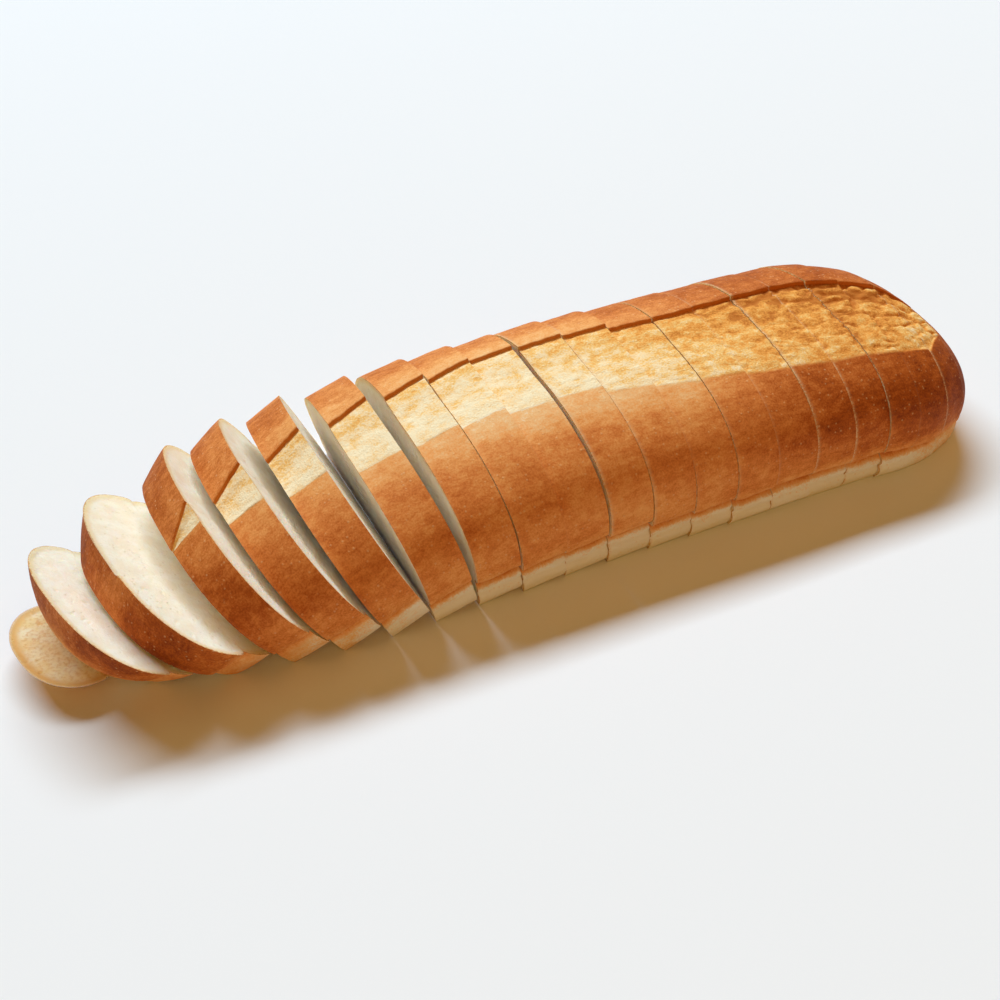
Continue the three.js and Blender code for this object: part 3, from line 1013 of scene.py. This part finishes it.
def torn_colour(n, place):
    """Golden torn band: pale ridges, brown crevices, more orange to the far right."""
    mottle = n.noise(n.stretched(place, (0.7, 1, 1)), TORN_MOTTLE_PITCH, detail=4)
    fine = n.noise(place, GRAIN_PITCH)
    crag = n.add(n.times(n.value("crag"), 0.42), n.spread(mottle, 0.25, 0.75, 0.44, 0.9))
    crag = n.add(crag, n.spread(fine, 0.3, 0.7, -0.14, 0.14))
    crag = n.add(crag, n.times(n.value("tone"), -0.6))
    return n.colours(n.add(crag, 0.12, clamp=True), TORN_TONES)


def crust_material():
    """Baked crust, painted sheen and crease shade, pale lower sides, and the torn gold band on top."""
    n = Nodes("bread_crust")
    place = n.place()
    dots = blisters(n, place)
    base = n.colours(crust_tone(n, place), CRUST_TONES)
    base = n.mix(n.times(dots, 0.4), base, BLISTER)
    base = n.mix(n.value("torn"), base, torn_colour(n, place))
    base = n.mix(n.times(n.value("flap"), 0.85), base, FLAP_EDGE)
    flecks = n.spread(n.noise(place, SPECKLE_PITCH, detail=2), 0.4, 0.56, 0.2, 1)
    base = n.mix(n.maths("MULTIPLY", n.value("crumbs"), flecks, clamp=True), base, CRUMB_FLECK)
    n.plug(base, n.surface.inputs["Base Color"])
    mottle = n.noise(place, UNEVEN_SHINE_PITCH)
    rough = n.add(n.spread(mottle, 0.2, 0.8, 0.55, 0.7), n.times(n.value("torn"), 0.2), clamp=True)
    n.plug(rough, n.surface.inputs["Roughness"])
    n.surface.inputs["Specular IOR Level"].default_value = CRUST_SHINE
    fine = n.noise(place, GRAIN_PITCH)
    height = n.add(n.times(fine, 0.45), n.times(mottle, 0.5))
    height = n.add(height, n.times(dots, 0.3))
    height = n.add(height, n.times(n.value("torn"), fine))
    n.bump(height, CRUST_GRAIN_DEPTH)
    return n.material


def crumb_material():
    """The white crumb of a cut face, with its fine pores and a thin baked rim. Pores get painted shade,
    the hidden faces of packed slices a dark painted gap shade, and the left heel's face a gold tint
    that is partly painted shade.
    """
    n = Nodes("bread_crumb")
    place = n.place()
    grain = n.noise(place, CRUMB_GRAIN_PITCH, detail=4, roughness=0.6)
    soft = n.noise(place, CRUMB_SHADE_PITCH, detail=2)
    distance, colour = n.cells(place, CRUMB_PORE_PITCH)
    pore = n.times(n.spread(distance, 0.1, 0.34, 1, 0), n.spread(colour, 0.5, 0.8))
    base = n.mix(n.spread(soft, 0.35, 0.65, 0, 0.7), CRUMB, CRUMB_SHADE)
    base = n.mix(n.spread(grain, 0.45, 0.72, 0, 0.45), base, CRUMB_SHADE)
    # Painted shade: the pores are darkened in colour as well as dented by the bump
    base = n.mix(n.times(pore, 0.4), base, PAINTED_PORE_SHADE)
    depth = n.add(n.value("inward"), n.spread(grain, 0.3, 0.7, -0.3, 0.3))
    base = n.mix(n.spread(depth, 0.6, 3.4, 0.7, 0), base, RIM_GOLD)
    base = n.mix(n.spread(depth, 0.1, 0.7, 0.9, 0), base, RIM_BROWN)
    # Left heel's face: its own gold crumb and baked rim, darker in part as painted shade from the next slice
    base = n.mix(n.times(n.value("golden"), n.spread(soft, 0.3, 0.7, 0.5, 0.95)), base, RIM_GOLD)
    base = n.mix(n.times(n.value("golden"), n.spread(grain, 0.42, 0.7, 0, 0.5)), base, RIM_BROWN)
    rim = n.times(n.value("golden"), n.spread(depth, 0.8, 5, 1, 0))
    base = n.mix(rim, base, RIM_BROWN)
    # Painted shade on the hidden cut faces, seen only through the gaps between packed slices
    base = n.mix(n.times(n.value("browned"), 0.95), base, PAINTED_GAP_SHADE_COLOUR)
    n.plug(base, n.surface.inputs["Base Color"])
    n.surface.inputs["Roughness"].default_value = MATT
    n.surface.inputs["Specular IOR Level"].default_value = CRUMB_SHINE
    n.surface.inputs["Subsurface Weight"].default_value = 0.6
    n.surface.inputs["Subsurface Radius"].default_value = CRUMB_GLOW_COLOURS
    n.surface.inputs["Subsurface Scale"].default_value = CRUMB_GLOW_DEPTH
    n.bump(n.maths("SUBTRACT", n.times(grain, 0.8), n.times(pore, 0.7)), CRUMB_GRAIN_DEPTH)
    return n.material


def floor_material():
    n = Nodes("plain_floor")
    n.surface.inputs["Base Color"].default_value = FLOOR_COLOUR
    n.surface.inputs["Roughness"].default_value = MATT
    n.surface.inputs["Specular IOR Level"].default_value = FLOOR_SHINE
    return n.material


def make_slice(slice_number, crust, crumb):
    mesh, plain, around, rows = slice_shape(slice_number)
    points = lay_down(np.concatenate(mesh.points), plain, slice_number)
    piece = write_mesh(f"bread_{node_name(slice_number)}", mesh, points)
    mark_cut_edges(piece, around, rows, slice_number)
    piece.data.materials.append(crust)
    piece.data.materials.append(crumb)
    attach(piece, "root")
    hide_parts(node_name(slice_number))


def make_floor():
    size = FLOOR_HALF_SIZE
    corners = [(-size, -size, 0), (size, -size, 0), (size, size, 0), (-size, size, 0)]
    data = bpy.data.meshes.new("floor")
    data.from_pydata(corners, [], [(0, 1, 2, 3)])
    floor = bpy.data.objects.new("floor", data)
    bpy.context.scene.collection.objects.link(floor)
    data.materials.append(floor_material())


def look_from(place, back):
    """A matrix at place whose -Z axis looks along -back."""
    back = np.array(back) / np.linalg.norm(back)
    right = np.cross((0, 0, 1), back)
    right = right / np.linalg.norm(right)
    up = np.cross(back, right)
    matrix = Matrix.Identity(4)
    for row in range(3):
        matrix[row][0] = right[row]
        matrix[row][1] = up[row]
        matrix[row][2] = back[row]
        matrix[row][3] = place[row]
    return matrix


def make_lamp(name, direction, distance, size, watts, colour):
    """A flat lamp at a distance from the middle of the loaf, facing it."""
    data = bpy.data.lights.new(name, "AREA")
    data.shape = "RECTANGLE"
    data.size, data.size_y = size
    data.energy = watts
    data.color = colour
    lamp = bpy.data.objects.new(name, data)
    bpy.context.scene.collection.objects.link(lamp)
    back = np.array(direction) / np.linalg.norm(direction)
    lamp.matrix_world = look_from(back * distance, back)


def make_room():
    """Dim warm light from all round. The camera sees a plain pale backdrop instead."""
    world = bpy.data.worlds.new("room")
    world.use_nodes = True
    bpy.context.scene.world = world
    tree = world.node_tree
    seen = tree.nodes.new("ShaderNodeLightPath")
    mix = tree.nodes.new("ShaderNodeMix")
    mix.data_type = "RGBA"
    tree.links.new(seen.outputs["Is Camera Ray"], mix.inputs["Factor"])
    room, backdrop = (socket for socket in mix.inputs if socket.type == "RGBA")
    room.default_value = ROOM_COLOUR
    backdrop.default_value = BACKDROP_COLOUR
    colour = next(socket for socket in mix.outputs if socket.type == "RGBA")
    tree.links.new(colour, tree.nodes["Background"].inputs["Color"])


def make_camera():
    data = bpy.data.cameras.new("camera")
    data.lens = CAMERA_LENS
    data.sensor_width = SENSOR_WIDTH
    camera = bpy.data.objects.new("camera", data)
    bpy.context.scene.collection.objects.link(camera)
    azimuth = degrees(CAMERA_AZIMUTH)
    elevation = degrees(CAMERA_ELEVATION)
    flat = math.cos(elevation)
    back = (math.sin(azimuth) * flat, -math.cos(azimuth) * flat, math.sin(elevation))
    roll = Matrix.Rotation(degrees(CAMERA_ROLL), 4, "Z")
    camera.matrix_world = look_from(CAMERA_PLACE, back) @ roll
    bpy.context.scene.camera = camera


make_camera()
make_room()
make_lamp("key", KEY_DIRECTION, KEY_DISTANCE, KEY_SIZE, KEY_WATTS, KEY_COLOUR)
make_lamp("fill", FILL_DIRECTION, FILL_DISTANCE, FILL_SIZE, FILL_WATTS, FILL_COLOUR)
make_lamp("top", TOP_DIRECTION, TOP_DISTANCE, TOP_SIZE, TOP_WATTS, TOP_COLOUR)
make_floor()
bread_crust = crust_material()
bread_crumb = crumb_material()
for number in range(1, SLICE_COUNT + 1):
    make_slice(number, bread_crust, bread_crumb)
bpy.context.scene.view_settings.view_transform = "Standard"
